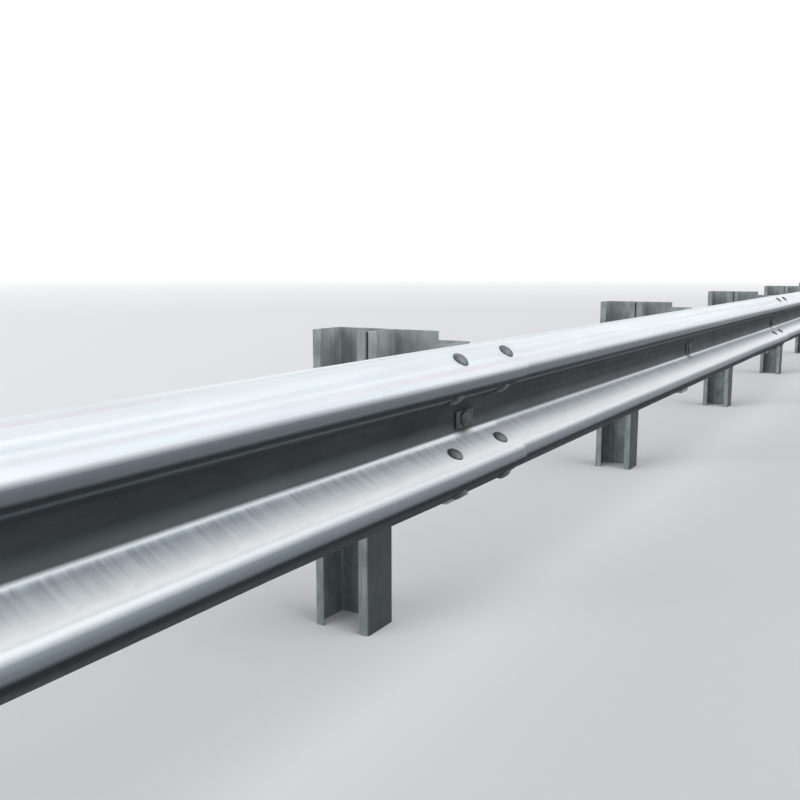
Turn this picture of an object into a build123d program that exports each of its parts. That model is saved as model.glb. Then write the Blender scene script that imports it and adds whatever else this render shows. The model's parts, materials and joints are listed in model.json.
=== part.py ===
"""Highway guardrail section: a straight run of steel W-beam rail on channel posts.

X runs along the road, the traffic is on the -Y side and Z is up. The origin is at ground level,
under the traffic-side flange of the middle post. Sizes are in millimetres.
"""

from build123d import *
from math import acos, atan2, cos, hypot, radians, sin, tan
import os

# The run
post_spacing = 2000.0
bays_per_rail = 2
rail_count = 3

# The rolled W-beam sheet
sheet = 3.0
rail_height = 311.0
rail_depth = 85.0
crest_spacing = 194.0
bend_radius = 24.0  # inside each of the four large bends
wall_slope = 60.0  # of the two walls of the valley, from upright
lip_reach = 31.0  # of the two edge lips, from the plane of the back to their bend
lip_lean = 10.0  # of the lips, from square to the road
lip_radius = 10.0
edge_setback = 1.5  # of the free edges, from the plane of the back

# The slots punched in a rail
column_pitch = 216.0  # between the two columns of splice slots
end_margin = 51.0  # from a rail's end to its first column
inner_row = 47.0  # along the wall from the valley's corner to its splice slots
outer_row = 24.0  # along the wall from the lip's corner to its splice slots
slot_sides = 12  # flats round the ends of a slot or a hole, few because they repeat so often
splice_slot_length = 42.0
splice_slot_width = 26.0
post_slot_length = 56.0
post_slot_width = 24.0

# Where one rail's end lies over another's
nesting_gap = 0.1  # between the valley walls of the two sheets
nesting_margin = 15.0  # that the front sheet keeps its shape past the one behind
easing_length = 500.0  # over which it comes back to the plain shape

# Posts, and the blockouts that hold the rail away from them
post_top = 700.0
channel_depth = 150.0
channel_width = 110.0
channel_wall = 4.3
channel_lip = 25.0
channel_radius = 9.0  # outside each bend
blockout_length = 360.0
blockout_depth = 200.0
corner_cut_length = 80.0  # along the top of a blockout, from its rail side
corner_cut_height = 20.0
blockout_bolt_pitch = 200.0  # between the two bolts that join a blockout to its post
bolt_slot_length = 32.0
bolt_slot_width = 18.0

# The washer under the head of each rail bolt
washer_length = 76.0
washer_width = 36.0
washer_thickness = 5.0
washer_hole = 18.0

# Places that follow from those sizes
rail_pitch = bays_per_rail * post_spacing
run_length = rail_count * rail_pitch
post_count = rail_count * bays_per_rail + 1
lap_half = column_pitch / 2 + end_margin
post_front = -channel_wall / 2
post_back = post_front + channel_depth
blockout_front = post_front - blockout_depth
rail_middle = post_top - blockout_length / 2
nesting_step = (sheet + nesting_gap) / cos(radians(wall_slope))
lip_spread = (sheet + nesting_gap - nesting_step * sin(radians(lip_lean))) / cos(radians(lip_lean))


def post_x(number):
    """The place along the run of a post, counted from 1."""
    return (number - 1) * post_spacing - run_length / 2


def at_splice(number):
    """Whether two rails meet at a post."""
    return 1 < number < post_count and (number - 1) % bays_per_rail == 0


def upper_corners(nested):
    """The corners of the upper half of the sheet's back: valley, crest, lip and free edge.

    Each is (depth towards the traffic, height over the rail's middle). A nested sheet lies over
    another one, so it stands further out and its lips are spread.
    """
    lean = radians(lip_lean)
    edge_height = rail_height / 2 - sheet * cos(lean)
    lip_height = edge_height - (lip_reach - edge_setback) * tan(lean)
    bend_depth = rail_depth - sheet - bend_radius
    bend_height = crest_spacing / 2

    # The outer wall runs from the lip's corner and touches the circle of the crest's bend
    back, up = lip_reach - bend_depth, lip_height - bend_height
    outer = atan2(up, back) - acos(bend_radius / hypot(back, up))
    inner = radians(wall_slope)
    valley_height = bend_height - (bend_radius + bend_depth * cos(inner)) / sin(inner)
    crest_depth = bend_depth + bend_radius * (sin(inner) + sin(outer)) / sin(inner + outer)
    crest_height = bend_height + bend_radius * (cos(inner) - cos(outer)) / sin(inner + outer)

    step = nesting_step if nested else 0.0
    spread = lip_spread if nested else 0.0
    return [
        (step, valley_height),
        (step + crest_depth, crest_height),
        (step + lip_reach, lip_height + spread),
        (step + edge_setback, edge_height + spread),
    ]


def draw_sheet(nested):
    """Draws the rail's closed outline: its back from the upper edge down, then its thickness."""
    upper = upper_corners(nested)
    corners = upper[::-1] + [(depth, -height) for depth, height in upper]
    points = [(blockout_front - depth, rail_middle + height) for depth, height in corners]
    upper_radii = [lip_radius, bend_radius, bend_radius + sheet]
    FilletPolyline(*points, radius=upper_radii + upper_radii[::-1])
    offset(amount=sheet, side=Side.RIGHT)


def splice_planes(post, nested):
    """A plane on the sheet's back for each splice slot at a post, two on each of the four walls."""
    valley, crest, lip, _ = upper_corners(nested)
    planes = []
    for foot, distance in ((valley, inner_row), (lip, outer_row)):
        for side in (1, -1):
            up_wall = Vector(0, foot[0] - crest[0], side * (crest[1] - foot[1])).normalized()
            start = Vector(post, blockout_front - foot[0], rail_middle + side * foot[1])
            for column in (-column_pitch / 2, column_pitch / 2):
                origin = start + up_wall * distance + Vector(column, 0, 0)
                planes.append(Plane(origin, x_dir=(1, 0, 0), z_dir=Vector(1, 0, 0).cross(up_wall)))
    return planes


def flange_plane(x, y, z):
    """An upright plane that faces the traffic, with its first axis upwards."""
    return Plane((x, y, z), x_dir=(0, 0, 1), z_dir=(0, -1, 0))


def valley_plane(x, nested):
    """The plane of the sheet's back in the valley, with its first axis along the run."""
    y = blockout_front - upper_corners(nested)[0][0]
    return Plane((x, y, rail_middle), x_dir=(1, 0, 0), z_dir=(0, -1, 0))


def draw_slot(length, width):
    """Draws a slot along the first axis, with ends made of flats."""
    reach = (length - width) / 2
    with Locations((-reach, 0), (reach, 0)):
        RegularPolygon(width / 2, slot_sides)
    Rectangle(2 * reach, width)


def draw_channel(back, depth):
    """Draws a lipped channel with its web on the +X side and its back flange at y = back."""
    front = back - depth
    web = channel_width / 2
    FilletPolyline(
        (-web, back - channel_lip),
        (-web, back),
        (web, back),
        (web, front),
        (-web, front),
        (-web, front + channel_lip),
        radius=channel_radius,
    )
    offset(amount=channel_wall, side=Side.RIGHT)


def make_rail(number):
    """One rail: its first end lies under the rail before it, and its last end over the next."""
    first = (number - 1) * rail_pitch - run_length / 2
    last = first + rail_pitch
    laps = number < rail_count
    start = first - lap_half
    end = last + lap_half
    lap_start = last - lap_half - nesting_margin
    plain_end = lap_start - easing_length if laps else end
    with BuildPart() as rail:
        with BuildSketch(Plane.YZ.offset(start)):
            with BuildLine():
                draw_sheet(nested=False)
            make_face()
        extrude(amount=plain_end - start)
        if laps:
            for x, nested in ((plain_end, False), (lap_start, True)):
                with BuildSketch(Plane.YZ.offset(x)):
                    with BuildLine():
                        draw_sheet(nested)
                    make_face()
            loft(ruled=True)
            with BuildSketch(Plane.YZ.offset(lap_start)):
                with BuildLine():
                    draw_sheet(nested=True)
                make_face()
            extrude(amount=end - lap_start)
        with BuildSketch(*splice_planes(first, False), *splice_planes(last, laps)):
            draw_slot(splice_slot_length, splice_slot_width)
        extrude(amount=2 * sheet, both=True, mode=Mode.SUBTRACT)
        middles = [first + bay * post_spacing for bay in range(bays_per_rail)]
        with BuildSketch(*[valley_plane(x, False) for x in middles], valley_plane(last, laps)):
            draw_slot(post_slot_length, post_slot_width)
        extrude(amount=2 * sheet, both=True, mode=Mode.SUBTRACT)
    return rail


def make_post(x):
    """A post from the ground up, with two bolt slots in its traffic-side flange."""
    bolts = [rail_middle + side * blockout_bolt_pitch / 2 for side in (1, -1)]
    with BuildPart() as post:
        with BuildSketch(Plane((x, 0, 0))):
            with BuildLine():
                draw_channel(post_back, channel_depth)
            make_face()
        extrude(amount=post_top)
        with BuildSketch(*[flange_plane(x, post_front, z) for z in bolts]):
            draw_slot(bolt_slot_length, bolt_slot_width)
        extrude(amount=2 * channel_wall, both=True, mode=Mode.SUBTRACT)
    return post


def make_blockout(x):
    """A blockout: two bolt slots to the post behind it, and one to the rail in front.

    Its top corner on the rail's side is cut down, nearly to the rail's edge.
    """
    bolts = [rail_middle + side * blockout_bolt_pitch / 2 for side in (1, -1)]
    with BuildPart() as blockout:
        with BuildSketch(Plane((x, 0, post_top - blockout_length))):
            with BuildLine():
                draw_channel(post_front, blockout_depth)
            make_face()
        extrude(amount=blockout_length)
        with Locations((x, blockout_front, post_top)):
            Box(2 * channel_width, 2 * corner_cut_length, 2 * corner_cut_height, mode=Mode.SUBTRACT)
        with BuildSketch(
            flange_plane(x, blockout_front, rail_middle),
            *[flange_plane(x, post_front, z) for z in bolts],
        ):
            draw_slot(bolt_slot_length, bolt_slot_width)
        extrude(amount=2 * channel_wall, both=True, mode=Mode.SUBTRACT)
    return blockout


def make_washer(x, nested):
    """The plate washer in the rail's valley, between the sheet and the head of the rail bolt."""
    with BuildPart() as washer:
        with BuildSketch(valley_plane(x, nested).offset(sheet)):
            Rectangle(washer_length, washer_width)
            RegularPolygon(washer_hole / 2, slot_sides, mode=Mode.SUBTRACT)
        extrude(amount=washer_thickness)
    return washer


def save(piece, name):
    """Labels a finished piece and writes it as its own file."""
    piece.part.label = name
    export_step(piece.part, f"parts/{name}.step")
    print(f"{name}: {piece.part.volume / 1000:.1f} cm3, {len(piece.part.solids())} solid")


os.makedirs("parts", exist_ok=True)
print(f"sheet over sheet: {nesting_step:.2f} mm out, lips {lip_spread:.2f} mm apart")
for number in range(1, rail_count + 1):
    save(make_rail(number), f"rail_{number}")
for number in range(1, post_count + 1):
    save(make_post(post_x(number)), f"post_{number}")
    save(make_blockout(post_x(number)), f"blockout_{number}")
    save(make_washer(post_x(number), at_splice(number)), f"rail_washer_{number}")
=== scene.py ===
# %% [markdown]
# # A highway guardrail
#
# A road barrier is rolled sheet steel on posts. Each rail is a W-shaped sheet, 3 mm thick, that
# laps over the next one at a post. A short piece of channel, the blockout, holds it off each post.
#
# The rails, posts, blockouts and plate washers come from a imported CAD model, which already has
# the right shapes and sizes. They could be modelled again here, but two copies of one shape drift
# apart, so they are kept and get better finishes. The bolts and nuts, and the studio, are made
# here.

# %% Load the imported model
import json
from math import cos, pi, radians, sin

import bmesh
import bpy
from mathutils import Matrix, Vector
from mathutils.bvhtree import BVHTree

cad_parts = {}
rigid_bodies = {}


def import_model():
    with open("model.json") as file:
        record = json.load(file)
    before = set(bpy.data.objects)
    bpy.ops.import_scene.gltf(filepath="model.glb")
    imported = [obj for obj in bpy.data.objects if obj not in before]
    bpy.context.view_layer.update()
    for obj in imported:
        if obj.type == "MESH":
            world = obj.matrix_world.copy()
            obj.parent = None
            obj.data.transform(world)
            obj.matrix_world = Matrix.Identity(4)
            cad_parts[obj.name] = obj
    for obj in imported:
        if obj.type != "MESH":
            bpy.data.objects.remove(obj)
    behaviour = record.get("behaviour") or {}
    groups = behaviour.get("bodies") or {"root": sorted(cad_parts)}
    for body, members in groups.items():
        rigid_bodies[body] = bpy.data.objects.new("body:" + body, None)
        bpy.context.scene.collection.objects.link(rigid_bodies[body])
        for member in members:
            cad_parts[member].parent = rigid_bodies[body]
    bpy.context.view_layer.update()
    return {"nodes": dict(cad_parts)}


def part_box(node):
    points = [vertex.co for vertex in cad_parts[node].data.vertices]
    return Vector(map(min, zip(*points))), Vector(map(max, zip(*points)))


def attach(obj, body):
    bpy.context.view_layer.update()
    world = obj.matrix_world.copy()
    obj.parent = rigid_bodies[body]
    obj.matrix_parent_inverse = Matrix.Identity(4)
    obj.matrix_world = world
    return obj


for start_object in list(bpy.data.objects):
    bpy.data.objects.remove(start_object)
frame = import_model()
nodes = frame["nodes"]
rail_low, rail_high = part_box("rail_1")
rail_middle = (rail_low.z + rail_high.z) / 2
rail_back = rail_high.y
post_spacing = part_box("post_2")[0].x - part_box("post_1")[0].x
print(f"middle of the rail: {rail_middle:.3f} m above the ground, posts {post_spacing:.2f} m apart")

# %% [markdown]
# ## The camera
#
# A person at the roadside sees the barrier run away from them, so its lines meet at a far point.
# The camera could be aimed at an empty, but two angles are easier to read and to change. It stands
# on the traffic side, a little above the rail, and looks slightly down.

# %% Place the camera
camera = bpy.data.objects.new("camera", bpy.data.cameras.new("camera"))
bpy.context.scene.collection.objects.link(camera)
bpy.context.scene.camera = camera
camera.data.lens = 40
camera.data.clip_end = 500
camera.location = (-3.675, -1.069, 0.836)
turn = radians(31.2)
tilt = radians(-8.4)
look = Vector((cos(turn) * cos(tilt), sin(turn) * cos(tilt), sin(tilt)))
camera.rotation_euler = look.to_track_quat("-Z", "Y").to_euler()
print("camera looks along", [round(part, 3) for part in look])

# %% [markdown]
# ## Small helpers for node materials
#
# A procedural material is a tree of nodes. Each node could be added and wired by hand, line by
# line, but seven short helpers keep the finishes below readable.

# %% Define the node helpers
def node(tree, kind, inputs=None, **settings):
    """Adds a shader node. A value that is a socket is wired in, and any other is typed in."""
    made = tree.nodes.new("ShaderNode" + kind)
    for name, value in settings.items():
        setattr(made, name, value)
    for name, value in (inputs or {}).items():
        if isinstance(value, bpy.types.NodeSocket):
            tree.links.new(value, made.inputs[name])
        else:
            made.inputs[name].default_value = value
    return made


def maths(tree, operation, first, second):
    """Works out one value from two, by an operation such as ADD or SUBTRACT."""
    return node(tree, "Math", {0: first, 1: second}, operation=operation).outputs[0]


def overlap(tree, mask, *others):
    """Multiplies masks, which leaves only what lies in all of them."""
    for other in others:
        mask = maths(tree, "MULTIPLY", mask, other)
    return mask


def noise(tree, place, size, detail, shift=0.0):
    """Soft noise from 0 to 1, whose blobs are about size = (x, y, z) metres large."""
    scale = [1 / length for length in size]
    sockets = {"Vector": place, "Scale": scale, "Location": (shift, shift, shift)}
    moved = node(tree, "Mapping", sockets).outputs[0]
    sockets = {"Vector": moved, "Scale": 1.0, "Detail": detail}
    return node(tree, "TexNoise", sockets).outputs["Fac"]


def between(tree, value, low, high, to_low=0.0, to_high=1.0):
    """Stretches a value so that low becomes to_low and high becomes to_high, and stops there."""
    sockets = {"Value": value, "From Min": low, "From Max": high}
    sockets.update({"To Min": to_low, "To Max": to_high})
    return node(tree, "MapRange", sockets, clamp=True).outputs[0]


def blend(tree, amount, first, second):
    """Mixes two colours: first where amount is 0, second where it is 1."""
    return node(tree, "Mix", {0: amount, 6: first, 7: second}, data_type="RGBA").outputs[2]


def shown(tree):
    """1 where the camera looks, also in a reflection or through glass, and 0 for other light."""
    path = node(tree, "LightPath").outputs
    either = maths(tree, "MAXIMUM", path["Is Camera Ray"], path["Is Glossy Ray"])
    return maths(tree, "MAXIMUM", either, path["Is Transmission Ray"])


print("node helpers: node, maths, overlap, noise, between, blend, shown")

# %% [markdown]
# ## The floor
#
# The barrier stands on a plain pale floor. A curved backdrop is the studio's usual trick, but the
# run is 12 m long and is seen from all round, so a very large flat floor fades to white far away
# instead. That is only how it looks, to the camera and in the steel's sheen. The light that it
# throws up is as weak as a road's, or it would fill the undersides, which are dark beside a road.

# %% Make the floor
floor_reach = 250
fade_start = 14.0
fade_end = 60.0
pale_grey = (0.68, 0.685, 0.69, 1)
road_grey = (0.22, 0.22, 0.22, 1)
pure_white = (1, 1, 1, 1)

floor_shape = bmesh.new()
bmesh.ops.create_grid(floor_shape, x_segments=1, y_segments=1, size=floor_reach)
floor = bpy.data.objects.new("floor", bpy.data.meshes.new("floor"))
floor_shape.to_mesh(floor.data)
floor_shape.free()
bpy.context.scene.collection.objects.link(floor)

floor_finish = bpy.data.materials.new("pale_floor")
floor_finish.use_nodes = True
tree = floor_finish.node_tree
tree.nodes.clear()
place = node(tree, "TexCoord").outputs["Object"]
far = node(tree, "VectorMath", {0: place}, operation="LENGTH").outputs["Value"]
seen = shown(tree)
fade = overlap(tree, between(tree, far, fade_start, fade_end), seen)
colour = blend(tree, seen, road_grey, pale_grey)
matt = node(tree, "BsdfDiffuse", {"Color": colour, "Roughness": 0.9}).outputs[0]
white = node(tree, "Emission", {"Color": pure_white, "Strength": 1.0}).outputs[0]
mixed = node(tree, "MixShader", {0: fade, 1: matt, 2: white}).outputs[0]
node(tree, "OutputMaterial", {"Surface": mixed})
floor.data.materials.append(floor_finish)
print(f"floor: {2 * floor_reach} m square, white from {fade_end:.0f} m")

# %% [markdown]
# ## The daylight
#
# Metal shows what is round it, so the sky that the camera and the steel see is plain white. What
# falls on the barrier is a softer glow and two lamps. An area lamp could be used, but over 12 m its
# light falls off, and a sun lamp's doesn't. The first sun is very broad and comes from above the
# road, like a bright overcast sky there. The second comes from behind, into the open side of the
# posts.

# %% Light it
sky_glow = (0.95, 0.98, 1, 1)
world = bpy.data.worlds.new("white_sky")
bpy.context.scene.world = world
world.use_nodes = True
tree = world.node_tree
tree.nodes.clear()
glow = node(tree, "Background", {"Color": sky_glow, "Strength": 0.55}).outputs[0]
white = node(tree, "Background", {"Color": pure_white, "Strength": 1.0}).outputs[0]
mixed = node(tree, "MixShader", {0: shown(tree), 1: glow, 2: white}).outputs[0]
node(tree, "OutputWorld", {"Surface": mixed})


def soft_sun(name, energy, spread, travel):
    """A lamp as far away as the sun, but as broad as the given angle in degrees."""
    lamp = bpy.data.objects.new(name, bpy.data.lights.new(name, "SUN"))
    bpy.context.scene.collection.objects.link(lamp)
    lamp.data.energy = energy
    lamp.data.angle = radians(spread)
    lamp.rotation_euler = Vector(travel).to_track_quat("-Z", "Y").to_euler()


soft_sun("overhead", energy=1.9, spread=75, travel=(-0.2, 1.1, -1))
soft_sun("fill", energy=0.8, spread=50, travel=(0.84, -0.45, -0.3))
bpy.context.scene.view_settings.view_transform = "Standard"
print("light: white sky and two soft lamps")

# %% [markdown]
# ## The rails' rolled zinc
#
# A rail is dipped in molten zinc, so it is bright blue-grey metal with a soft sheen. Rolling leaves
# long faint streaks along it, some of them pale lilac, and the zinc sets in small crystals. An
# image could show this, but noise stretched along X gives it at any length with no seam, because
# the streaks follow the way that the sheet was rolled.

# %% Colour the rolled zinc
grey_zinc = (0.65, 0.72, 0.765, 1)
bright_zinc = (0.825, 0.865, 0.88, 1)
lilac_zinc = (0.68, 0.61, 0.66, 1)
dull_zinc = (0.55, 0.58, 0.60, 1)
white_zinc = (0.82, 0.84, 0.86, 1)
crystals_per_metre = 95.0
rail_finish = bpy.data.materials.new("rolled_zinc")
rail_finish.use_nodes = True
tree = rail_finish.node_tree
tree.nodes.clear()
place = node(tree, "TexCoord").outputs["Object"]
streaks = noise(tree, place, (1.6, 0.016, 0.016), detail=6.0)
lilac = noise(tree, place, (2.4, 0.030, 0.030), detail=4.0, shift=12.9)
clouds = noise(tree, place, (0.22, 0.06, 0.06), detail=5.0, shift=7.7)
sockets = {"Vector": place, "Scale": crystals_per_metre}
crystals = node(tree, "TexVoronoi", sockets).outputs["Color"]
crystals = node(tree, "SeparateColor", {"Color": crystals}).outputs[0]
colour = blend(tree, between(tree, streaks, 0.35, 0.65), grey_zinc, bright_zinc)
colour = blend(tree, between(tree, lilac, 0.56, 0.68, 0.0, 0.5), colour, lilac_zinc)
colour = blend(tree, between(tree, clouds, 0.3, 0.75, 0.0, 0.3), colour, dull_zinc)
colour = blend(tree, between(tree, crystals, 0.0, 1.0, 0.0, 0.1), colour, white_zinc)
print("crystals about", round(1000 / crystals_per_metre), "mm across")

# %% [markdown]
# ## Where shade and light are painted on the rails
#
# Faces that turn down or to the road, or lie deep in the valley, are painted darker, as shade, and
# the lower slope is painted lighter, as light. This could be painted on by hand, but masks that are
# made from the direction that the steel faces, and from how deep it lies, follow the rail's shape
# by themselves.

# %% Find which way the steel faces
along, across, height = node(tree, "SeparateXYZ", {"Vector": place}).outputs
facing = node(tree, "NewGeometry").outputs["Normal"]
_, facing_across, facing_up = node(tree, "SeparateXYZ", {"Vector": facing}).outputs
traffic_side = between(tree, facing_across, 0.1, -0.1)


def in_front(millimetres):
    """A place across the road, so far in front of the rails' back."""
    return rail_back - millimetres / 1000


def above(millimetres):
    """A height, so far over the rails' middle, or under it where it is negative."""
    return rail_middle + millimetres / 1000


print(f"the rails' back lies at y = {rail_back:.3f} m, and the traffic is on the -y side")

# %% [markdown]
# ## The painted shade on the crests
#
# The two crests face the traffic, and their fronts are painted grey, as shade: they stand in for
# the dark road that these faces mirror. The lower crest gets more of it. A second material on
# those faces would show it too, but with a hard edge. A mask fades out as shade does.

# %% Grey the fronts of the crests
# Painted shade: a grey on the fronts of the crests, for the dark road that they mirror.
crest_shade_colour = (0.125, 0.15, 0.175, 1)
crest_shade_start = 50
crest_shade_full = 62
lower_crest_shade = 0.45
standing_out = between(tree, across, in_front(crest_shade_start), in_front(crest_shade_full))
lower_half = between(tree, height, above(10), above(-10), 0.0, lower_crest_shade)
lower_crest = overlap(tree, lower_half, standing_out)
facing_light = maths(tree, "SUBTRACT", facing_up, lower_crest)
upright = between(tree, facing_light, 0.38, -0.02, 0.0, 0.9)
crest_shade = overlap(tree, upright, standing_out, traffic_side)
colour = blend(tree, crest_shade, colour, crest_shade_colour)
# The film in this text is the painted shade on the crests.
print(f"film on the crests, from {crest_shade_start} mm in front of the rail's back")

# %% [markdown]
# ## The painted shade underneath and in the valley
#
# What faces down, and what lies deep in the valley, is painted nearly black, as shade and as the
# dark road that it mirrors. Halfway down the upper wall the painted shade is paler, which leaves a
# paler line between dark ones, and low on the valley's floor it is less dark. It is weaker behind
# the rail. One long face can be clean at one edge and black at the other, so masks do this as well,
# and not a darker material on chosen faces.

# %% Paint shade where the steel faces down or lies deep
# Painted shade: near black on faces that turn down or lie deep in the valley, paler in a line and
# on the floor.
dark_shade_colour = (0.018, 0.024, 0.028, 1)
paler_shade_colour = (0.115, 0.140, 0.155, 1)
floor_shade_colour = (0.072, 0.082, 0.090, 1)
valley_shade = 1.05
deep = between(tree, across, in_front(30), in_front(8), 0.0, valley_shade)
facing_light = maths(tree, "SUBTRACT", facing_light, overlap(tree, deep, traffic_side))
painted_shade_mask = between(tree, facing_light, -0.50, -0.75, 0.0, 0.99)
patchy = between(tree, clouds, 0.2, 0.8, 0.95, 1.0)
less_behind = between(tree, traffic_side, 0.0, 1.0, 0.55, 1.0)
painted_shade_mask = overlap(tree, painted_shade_mask, patchy, less_behind)
pale_line = overlap(
    tree,
    between(tree, across, in_front(60), in_front(52)),
    between(tree, across, in_front(36), in_front(44)),
    between(tree, height, above(0), above(20)),
)
valley_floor = overlap(
    tree,
    between(tree, across, in_front(22), in_front(8)),
    between(tree, height, above(2), above(-20)),
)
shade_colour = blend(tree, valley_floor, dark_shade_colour, floor_shade_colour)
shade_colour = blend(tree, pale_line, shade_colour, paler_shade_colour)
colour = blend(tree, painted_shade_mask, colour, shade_colour)
# The dust in this text is the paler painted shade on the valley's floor.
print(f"paler line above {above(0):.3f} m, dust below {above(2):.3f} m")

# %% [markdown]
# ## The painted light on the lower slope, run-down lines and dark patches at the bolts
#
# Most of the lower slope is painted lighter, as light. At its top, run-down lines of dirt darken
# it, over painted shade under the upper crest that fades out down the slope, and a dark patch is
# painted round each rail bolt. An image of the lines would repeat along 12 m, so they are noise
# that is narrow along X, faded out down the slope. A Ping-Pong node folds the run at every post,
# so one round patch shows at all seven bolts.

# %% Paint light on the lower slope
# Painted light: the lower slope is made nearly white, as the light that falls on it.
painted_light_colour = (0.93, 0.955, 0.975, 1)
painted_light = overlap(
    tree,
    between(tree, height, above(-44), above(-62), 0.0, 0.9),
    between(tree, height, above(-80), above(-70)),
    between(tree, facing_up, 0.5, 0.7),
    traffic_side,
)
colour = blend(tree, painted_light, colour, painted_light_colour)
# These heights bound the painted light on the lower slope.
print(f"washed between {above(-80):.3f} m and {above(-44):.3f} m")

# %% Add the run-down lines and the painted shade under the crest
# Run-down lines of dirt over painted shade: darkest at the slope's top, under the upper crest,
# fading out lower down.
lines_and_shade_colour = (0.29, 0.335, 0.38, 1)
lines_start = above(-35)
lines_end = above(-66)
lines = noise(tree, place, (0.007, 0.2, 0.2), detail=5.0, shift=31.7)
lines = between(tree, lines, 0.35, 0.65, 0.5, 1.0)
shade_fade = between(tree, height, lines_end, lines_start, 0.0, 0.95)
starting = between(tree, height, lines_start + 0.002, lines_start - 0.003)
colour = blend(tree, overlap(tree, lines, shade_fade, starting), colour, lines_and_shade_colour)
print(f"lines run down from {lines_start:.3f} m to {lines_end:.3f} m")

# %% Add the dark patches at the bolts
# A dark patch round each rail bolt, taller than wide, on the valley's floor.
patch_colour = (0.035, 0.038, 0.037, 1)
patch_core = 0.020
patch_edge = 0.052
patch_squash = 0.7
sideways = maths(tree, "PINGPONG", along, post_spacing / 2)
upwards = maths(tree, "SUBTRACT", height, rail_middle)
upwards = maths(tree, "MULTIPLY", upwards, patch_squash)
from_bolt = node(tree, "CombineXYZ", {"X": sideways, "Y": upwards}).outputs[0]
from_bolt = node(tree, "VectorMath", {0: from_bolt}, operation="LENGTH").outputs["Value"]
patch = between(tree, from_bolt, patch_core, patch_edge, 0.85, 0.0)
patch = overlap(tree, patch, between(tree, across, in_front(20), in_front(12)))
colour = blend(tree, patch, colour, patch_colour)
# The stain in this text is the dark patch at each bolt.
print(f"a stain every {post_spacing:.2f} m, about {2 * patch_edge:.1f} m across")

# %% [markdown]
# ## The rails' surface
#
# New zinc is smooth but never flat: rolling leaves fine grooves, and the sheet waves a little. Both
# are too shallow to model, so they are bumps. Where shade is painted, the metal is also made
# rougher and less metallic.

# %% Finish the rolled zinc
dull = between(tree, streaks, 0.3, 0.7, 0.48, 0.36)
dull = maths(tree, "ADD", dull, between(tree, crystals, 0, 1, -0.03, 0.05))
dull = maths(tree, "ADD", dull, between(tree, painted_shade_mask, 0, 1, 0, 0.25))
bare = between(tree, painted_shade_mask, 0, 0.9, 0.35, 0.04)
grooves = noise(tree, place, (3.0, 0.0016, 0.0016), detail=2.0, shift=3.1)
grooves = between(tree, grooves, 0.3, 0.7)
waves = noise(tree, place, (0.45, 0.05, 0.05), detail=1.0, shift=21.3)
bump = node(tree, "Bump", {"Height": grooves, "Strength": 0.25, "Distance": 0.0002}).outputs[0]
sockets = {"Height": waves, "Strength": 0.5, "Distance": 0.0012, "Normal": bump}
bump = node(tree, "Bump", sockets).outputs[0]
sockets = {"Base Color": colour, "Metallic": bare, "Roughness": dull, "Normal": bump}
zinc = node(tree, "BsdfPrincipled", {**sockets, "Specular IOR Level": 0.15})
node(tree, "OutputMaterial", {"Surface": zinc.outputs[0]})


def dress(kind, finish):
    """Gives a finish to the CAD pieces of one kind, such as post_1 to post_7, and counts them."""
    pieces = [piece for name, piece in nodes.items() if name.rpartition("_")[0] == kind]
    for piece in pieces:
        piece.material_slots[0].material = finish
    return len(pieces)


print("rolled zinc on", dress("rail", rail_finish), "rails")

# %% [markdown]
# ## The posts' finish
#
# Posts and blockouts are dipped too, but their zinc has weathered: it is duller, greener and
# blotched, with stains that ran down. The face that each post turns to the road is painted dark,
# as the shade under the rail. The same recipe with blobs that are stretched along Z gives those
# stains, and a rougher surface takes the sheen away.

# %% Define the weathered zinc
# Painted shade for the posts' road faces: the shade under the rail.
post_shade_colour = (0.038, 0.048, 0.046, 1)


def weathered_zinc(name, dark, light, stained, bare=0.25, shade_reach=None):
    """A dull, blotched zinc. Bare is how much metal shows, and shade is painted on road faces up to
    the reach.
    """
    finish = bpy.data.materials.new(name)
    finish.use_nodes = True
    tree = finish.node_tree
    tree.nodes.clear()
    place = node(tree, "TexCoord").outputs["Object"]
    blotches = noise(tree, place, (0.035, 0.035, 0.05), detail=6.0)
    runs = noise(tree, place, (0.012, 0.012, 0.35), detail=4.0, shift=5.3)
    grain = noise(tree, place, (0.003, 0.003, 0.003), detail=3.0, shift=9.9)
    colour = blend(tree, between(tree, blotches, 0.35, 0.65), dark, light)
    colour = blend(tree, between(tree, runs, 0.52, 0.72, 0.0, 0.7), colour, stained)
    if shade_reach is not None:
        # Painted shade on faces that turn to the road, up to the reach.
        facing = node(tree, "NewGeometry").outputs["Normal"]
        facing = node(tree, "SeparateXYZ", {"Vector": facing}).outputs["Y"]
        across = node(tree, "SeparateXYZ", {"Vector": place}).outputs["Y"]
        towards_road = between(tree, facing, -0.4, -0.95, 0.0, 0.95)
        within_reach = between(tree, across, shade_reach, shade_reach - 0.001)
        shaded_face = overlap(tree, towards_road, within_reach)
        colour = blend(tree, shaded_face, colour, post_shade_colour)
    dull = between(tree, blotches, 0.3, 0.7, 0.62, 0.44)
    bump = node(tree, "Bump", {"Height": grain, "Strength": 0.35, "Distance": 0.0006}).outputs[0]
    sockets = {"Base Color": colour, "Metallic": bare, "Roughness": dull, "Normal": bump}
    zinc = node(tree, "BsdfPrincipled", sockets)
    node(tree, "OutputMaterial", {"Surface": zinc.outputs[0]})
    return finish


# The spray in this text is painted shade on the posts' road faces.
print("weathered zinc: blotches, runs and spray")

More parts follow.
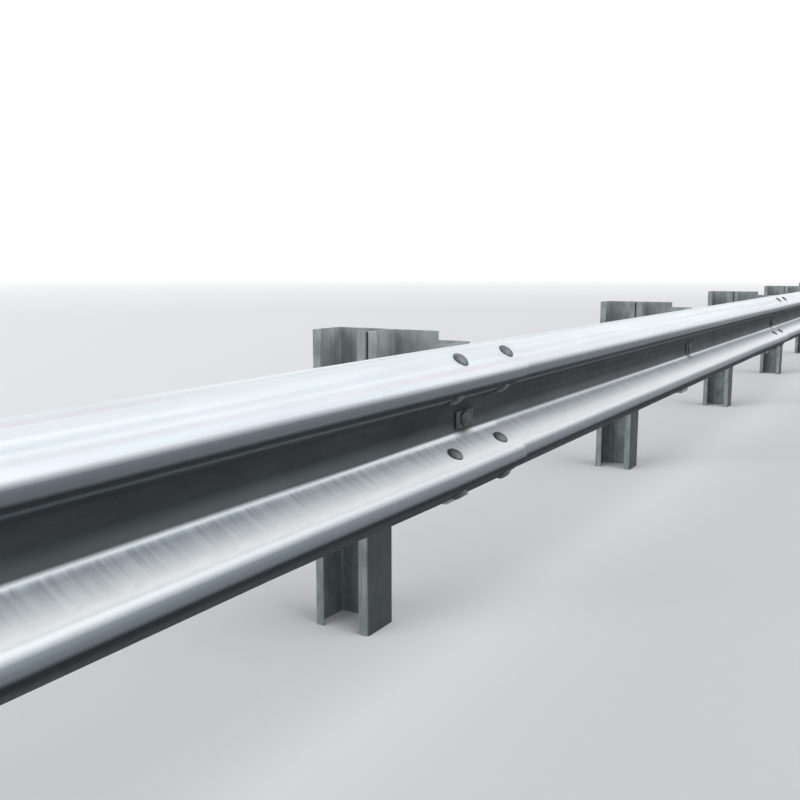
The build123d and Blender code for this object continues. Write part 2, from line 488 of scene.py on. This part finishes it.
# %% Finish the posts and the blockouts
shade_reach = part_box("post_1")[0].y + 0.004
post_finish = weathered_zinc(
    "post_zinc",
    dark=(0.25, 0.29, 0.29, 1),
    light=(0.39, 0.43, 0.425, 1),
    stained=(0.17, 0.20, 0.195, 1),
    shade_reach=shade_reach,
)
blockout_finish = weathered_zinc(
    "blockout_zinc",
    dark=(0.27, 0.31, 0.315, 1),
    light=(0.40, 0.44, 0.44, 1),
    stained=(0.19, 0.22, 0.215, 1),
)
print("weathered zinc on", dress("post", post_finish), "posts")
print("weathered zinc on", dress("blockout", blockout_finish), "blockouts")
# The spray in this text is painted shade on the posts' road faces, up to this reach.
print(f"spray on the posts, up to {shade_reach * 1000:.1f} mm across the road")

# %% Finish the bolts and the plate washers
bolt_finish = weathered_zinc(
    "bolt_zinc",
    dark=(0.09, 0.105, 0.11, 1),
    light=(0.16, 0.175, 0.18, 1),
    stained=(0.07, 0.075, 0.075, 1),
    bare=0.5,
)
grimy_finish = weathered_zinc(
    "grimy_zinc",
    dark=(0.030, 0.034, 0.034, 1),
    light=(0.065, 0.072, 0.072, 1),
    stained=(0.020, 0.022, 0.021, 1),
)
print("grimy zinc on", dress("rail_washer", grimy_finish), "plate washers")

# %% [markdown]
# ## The shapes of the fasteners
#
# A rail bolt has a round, domed head, so that a car slides along it, and a thread that takes a hex
# nut behind. A head could start as a squashed sphere, but a few points of its outline, spun once
# round, give its true dome, its rim and its thread in one closed skin.

# %% Define the turned and hexagonal shapes
def turned(outline):
    """Spins an outline of (radius, height) points round the Z axis.

    The outline starts and ends on the axis, so the skin is closed.
    """
    shape = bmesh.new()
    points = [shape.verts.new((radius, 0, height)) for radius, height in outline]
    edges = [shape.edges.new(pair) for pair in zip(points, points[1:])]
    bmesh.ops.spin(
        shape,
        geom=points + edges,
        cent=(0, 0, 0),
        axis=(0, 0, 1),
        angle=2 * pi,
        steps=32,
        use_merge=True,
    )
    bmesh.ops.remove_doubles(shape, verts=shape.verts, dist=0.00001)
    bmesh.ops.recalc_face_normals(shape, faces=shape.faces)
    return shape


def hexagon(width, height, chamfer):
    """A hexagonal block on the XY plane with its corners cut, as on a nut or a bolt's head."""
    shape = bmesh.new()
    radius = width / 2 / cos(radians(30))
    bmesh.ops.create_circle(shape, cap_ends=True, radius=radius, segments=6)
    raised = bmesh.ops.extrude_face_region(shape, geom=shape.faces[:])
    top = [part for part in raised["geom"] if isinstance(part, bmesh.types.BMVert)]
    bmesh.ops.translate(shape, verts=top, vec=(0, 0, height))
    bmesh.ops.bevel(
        shape,
        geom=shape.verts[:],
        offset=chamfer,
        affect="VERTICES",
        segments=2,
        profile=0.5,
        material=-1,
    )
    bmesh.ops.recalc_face_normals(shape, faces=shape.faces)
    return shape


nut_height = 0.013
washer_radius = 0.017
washer_thickness = 0.003
dome = [
    (0, 0.0088),
    (0.0045, 0.0086),
    (0.009, 0.0078),
    (0.0130, 0.0063),
    (0.0161, 0.0043),
    (0.0178, 0.0021),
    (0.0181, 0.0009),
    (0.0178, 0),
]
washer_outline = [
    (0, washer_thickness),
    (0.0163, washer_thickness),
    (washer_radius, 0.0024),
    (washer_radius, 0),
    (0, 0),
]
nut_shape = hexagon(width=0.027, height=nut_height, chamfer=0.0016)
head_shape = hexagon(width=0.024, height=0.010, chamfer=0.0014)
washer_shape = turned(washer_outline)
print("nut:", len(nut_shape.faces), "faces; round washer:", len(washer_shape.faces), "faces")

# %% Define a bolt of any grip
bolt_radius = 0.008
thread_pitch = 0.002
thread_depth = 0.0011
tip_chamfer = 0.0016
smooth_share = 0.25
past_nut = 0.007


def thread(start, end):
    """The outline of a thread from one height down to another: a ridge for each turn."""
    outline = []
    for turn_number in range(int((start - end) / thread_pitch)):
        top = start - turn_number * thread_pitch
        outline += [(bolt_radius - thread_depth, top), (bolt_radius, top - thread_pitch / 2)]
    return outline + [(bolt_radius - tip_chamfer, end), (0, end)]


def bolt_shape(head, reach):
    """A bolt along -Z, with its head's outline above its seat at zero."""
    smooth_end = -reach * smooth_share
    shank = [(bolt_radius, 0), (bolt_radius, smooth_end)]
    return turned(head + shank + thread(smooth_end, -reach))


def stamp(target, shape, point, axis):
    """Copies a shape into a larger one, with its Z axis turned to the given axis."""
    copy = bpy.data.meshes.new("stamp")
    shape.to_mesh(copy)
    copy.transform(Matrix.Translation(point) @ axis.to_track_quat("Z", "Y").to_matrix().to_4x4())
    target.from_mesh(copy)
    bpy.data.meshes.remove(copy)


def fasten(target, head, seat, axis, grip):
    """Puts a bolt in a hole: its head on the seat, and its washer and nut behind the grip."""
    nut_seat = grip + washer_thickness
    bolt = bolt_shape(head, nut_seat + nut_height + past_nut)
    stamp(target, bolt, seat, axis)
    bolt.free()
    stamp(target, washer_shape, seat - axis * grip, -axis)
    stamp(target, nut_shape, seat - axis * nut_seat, -axis)


def finish_fasteners(name, shape, finish):
    """Turns a shape into a piece that rides with the barrier."""
    piece = bpy.data.objects.new(name, bpy.data.meshes.new(name))
    shape.to_mesh(piece.data)
    shape.free()
    piece.data.materials.append(finish)
    piece.data.polygons.foreach_set("use_smooth", [True] * len(piece.data.polygons))
    piece.data.set_sharp_from_angle(angle=radians(32))
    bpy.context.scene.collection.objects.link(piece)
    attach(piece, "root")


print("bolts are", bolt_radius * 2000, "mm thick")

# %% [markdown]
# ## Where the bolts sit
#
# Each bolt stands square on the steel, and the rail's walls lean. Their angles could be copied from
# a drawing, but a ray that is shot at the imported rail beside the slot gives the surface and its
# direction, so the bolts still fit if the rail's shape changes.

# %% Find the steel beside a slot
to_road = Vector((0, -1, 0))
beside_slot = 0.033
depsgraph = bpy.context.evaluated_depsgraph_get()
skins = {name: BVHTree.FromObject(piece, depsgraph) for name, piece in nodes.items()}


def surface(name, start, direction):
    """Where a ray first meets a CAD piece, and which way its surface faces there."""
    point, facing, _, _ = skins[name].ray_cast(Vector(start), direction)
    if facing.dot(direction) > 0:
        facing = -facing
    return point, facing


print(len(skins), "surfaces to shoot at")

# %% [markdown]
# ## The splice bolts
#
# Eight bolts clamp two rails together at every second post, two on each of the four walls. Their
# heads sit on the front rail, and the nuts behind the rear one. They could be sixteen pieces, but
# they never part, so the bolts of each splice are stamped into one.

# %% Bolt the rails together
splices = {3: ("rail_1", "rail_2"), 5: ("rail_2", "rail_3")}
column = 0.108
rows = (0.1365, 0.0567, -0.0567, -0.1365)
on_road = -0.6
behind_rails = 0.04
for number, (front, rear) in splices.items():
    low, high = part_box(f"post_{number}")
    together = bmesh.new()
    for side in (-1, 1):
        for row in rows:
            x = (low.x + high.x) / 2 + side * column
            start = (x + side * beside_slot, on_road, rail_middle + row)
            seat, axis = surface(front, start, -to_road)
            back, _ = surface(rear, seat - axis * behind_rails, axis)
            seat.x = x
            grip = (seat - back).dot(axis)
            fasten(together, dome, seat, axis, grip)
    finish_fasteners(f"splice_bolts_{number}", together, bolt_finish)
    print(f"splice at post {number}: last grip {grip * 1000:.1f} mm")

# %% [markdown]
# ## The rail bolts and the blockout bolts
#
# One bolt through the valley holds the rail to each blockout, with a plate washer under its head.
# Two more, with hex heads, hold the blockout to its post. From the road the heads alone would do,
# but the rest shows in the open side of the channels, so each bolt gets its thread, washer and nut.

# %% Bolt the rails to the blockouts
stations = range(1, 8)
inside_blockout = 0.08
for number in stations:
    low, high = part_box(f"rail_washer_{number}")
    x = (low.x + high.x) / 2
    seat = Vector((x, low.y, rail_middle))
    start = (x + beside_slot, low.y + inside_blockout, rail_middle)
    inside, _ = surface(f"blockout_{number}", start, to_road)
    together = bmesh.new()
    fasten(together, dome, seat, to_road, inside.y - seat.y)
    finish_fasteners(f"rail_bolt_{number}", together, grimy_finish)
print(f"rail bolts: grip {(inside.y - seat.y) * 1000:.1f} mm at the last post")

# %% Bolt the blockouts to the posts
bolt_rise = 0.1
from_joint = 0.05
shank_only = [(0, 0)]
for number in stations:
    low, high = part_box(f"post_{number}")
    x = (low.x + high.x) / 2
    together = bmesh.new()
    for level in (rail_middle + bolt_rise, rail_middle - bolt_rise):
        start = (x + beside_slot, low.y - from_joint, level)
        front, _ = surface(f"blockout_{number}", start, -to_road)
        start = (x + beside_slot, low.y + from_joint, level)
        behind, _ = surface(f"post_{number}", start, to_road)
        seat = Vector((x, front.y - washer_thickness, level))
        fasten(together, shank_only, seat, to_road, behind.y - seat.y)
        stamp(together, washer_shape, Vector((x, front.y, level)), to_road)
        stamp(together, head_shape, seat, to_road)
    finish_fasteners(f"blockout_bolts_{number}", together, bolt_finish)
print(f"blockout bolts: grip {(behind.y - front.y) * 1000:.1f} mm")
